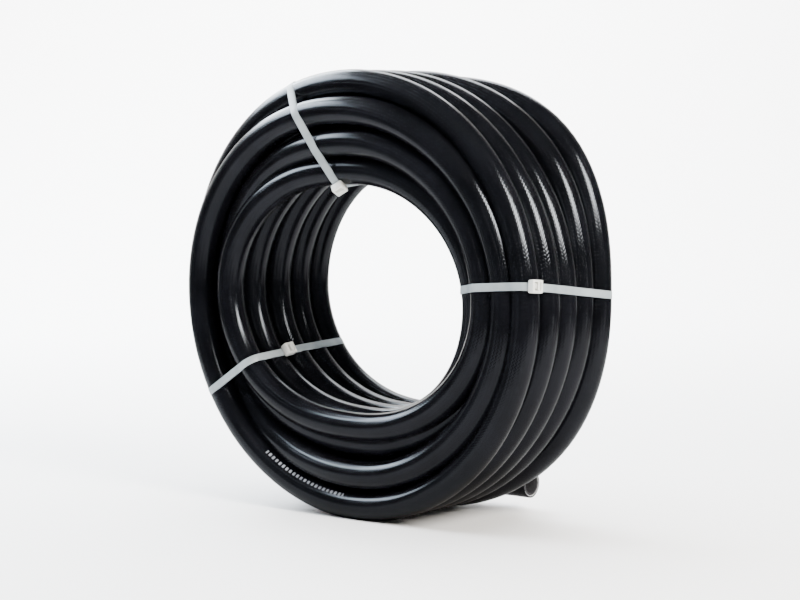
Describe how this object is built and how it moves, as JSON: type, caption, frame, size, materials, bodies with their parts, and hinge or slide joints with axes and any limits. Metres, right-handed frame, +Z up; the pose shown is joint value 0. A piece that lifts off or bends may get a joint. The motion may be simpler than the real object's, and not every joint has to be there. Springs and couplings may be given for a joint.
{
  "type": "coiled garden hose",
  "caption": "Upright coil of glossy reinforced hose, bound with nylon cable ties, with one open cut end just above the floor.",
  "frame": {"origin": "on the floor under the middle of the part's footprint", "axes": "+Z up; the coil's axis runs along Y with its front face toward -Y; the hose's outer end runs just above the floor toward +X behind the coil"},
  "size_m": [0.289, 0.1096, 0.2809],
  "materials": {
    "hose_cover": "glossy black PVC with a woven grain from the yarn below",
    "hose_braid": "polyester yarn, seen only as a ring at the cut",
    "hose_liner": "smooth black PVC",
    "tie_nylon": "natural nylon, satin and slightly translucent"
  },
  "bodies": {
    "root": {"hose_coil": "hose_cover", "end_cover": "hose_cover", "end_braid": "hose_braid", "end_liner": "hose_liner", "tie_upper_left": "tie_nylon", "tie_right": "tie_nylon", "tie_lower_left": "tie_nylon"}
  },
  "joints": []
}
